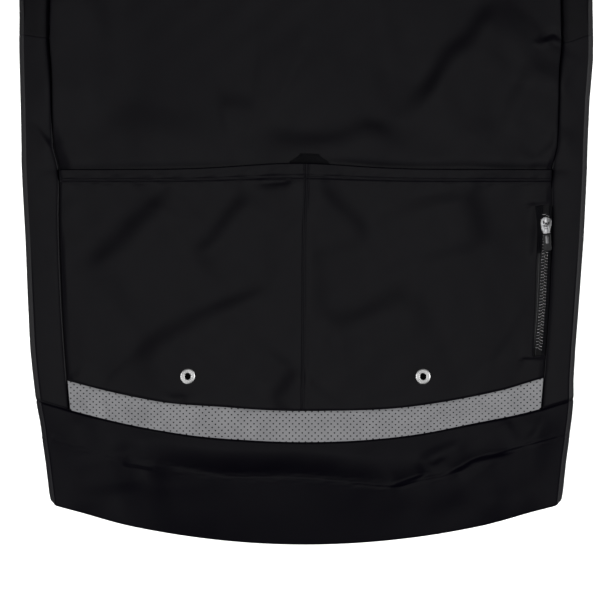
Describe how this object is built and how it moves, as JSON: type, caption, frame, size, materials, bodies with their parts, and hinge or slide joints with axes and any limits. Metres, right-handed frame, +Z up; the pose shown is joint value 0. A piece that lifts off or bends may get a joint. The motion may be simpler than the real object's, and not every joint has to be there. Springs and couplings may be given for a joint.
{
  "type": "softshell jacket",
  "caption": "Long-sleeved softshell cycling jacket laid flat on its front: stand collar, front zip, drop tail, big rear pocket with a side zip, cable eyelets and a reflective band.",
  "frame": {"origin": "on the surface that the jacket lies on, under the middle of its bounding box", "axes": "+Z up from the surface, +Y from the hem to the collar, +X to the right as the back is seen (the wearer's right)"},
  "size_m": [1.0582, 0.7998, 0.0103],
  "materials": {
    "softshell": "matt brushed softshell",
    "stretch_knit": "matt ribbed stretch cloth",
    "reflective_tape": "perforated grey reflective film",
    "ring_metal": "satin",
    "zip_metal": "bright nickel",
    "zip_tape": "woven tape",
    "zip_teeth": "glossy black moulded teeth",
    "pull_rubber": "matt moulded rubber"
  },
  "bodies": {
    "garment": {"back_panel": "softshell", "collar": "softshell", "eyelet_left": "ring_metal", "eyelet_right": "ring_metal", "front_left": "softshell", "front_right": "softshell", "hem_band": "softshell", "main_zip_slider": "zip_metal", "main_zip_tape_left": "zip_tape", "main_zip_tape_right": "zip_tape", "main_zip_teeth": "zip_teeth", "pocket_panel": "softshell", "pocket_patch": "stretch_knit", "pocket_zip_slider": "zip_metal", "pocket_zip_tape_left": "zip_tape", "pocket_zip_tape_right": "zip_tape", "pocket_zip_teeth": "zip_teeth", "reflective_band": "reflective_tape", "side_panel_left": "softshell", "side_panel_right": "softshell", "sleeve_left": "softshell", "sleeve_right": "softshell", "underarm_panel_left": "stretch_knit", "underarm_panel_right": "stretch_knit"},
    "pocket_pull": {"pocket_zip_pull": "zip_metal", "pocket_zip_tab": "pull_rubber"},
    "main_pull": {"main_zip_pull": "zip_metal", "main_zip_tab": "pull_rubber"}
  },
  "joints": [
    {"name": "pocket_pull_hinge", "type": "hinge", "parent": "garment", "child": "pocket_pull", "pos_m": [0.20196, -0.13288, 0.00865], "axis": [-0.9995, 0.0309, 0], "range_deg": [0, 170]},
    {"name": "main_pull_hinge", "type": "hinge", "parent": "garment", "child": "main_pull", "pos_m": [0, 0.3215, 0.0017], "axis": [-1, 0, 0], "range_deg": [0, 170]}
  ]
}
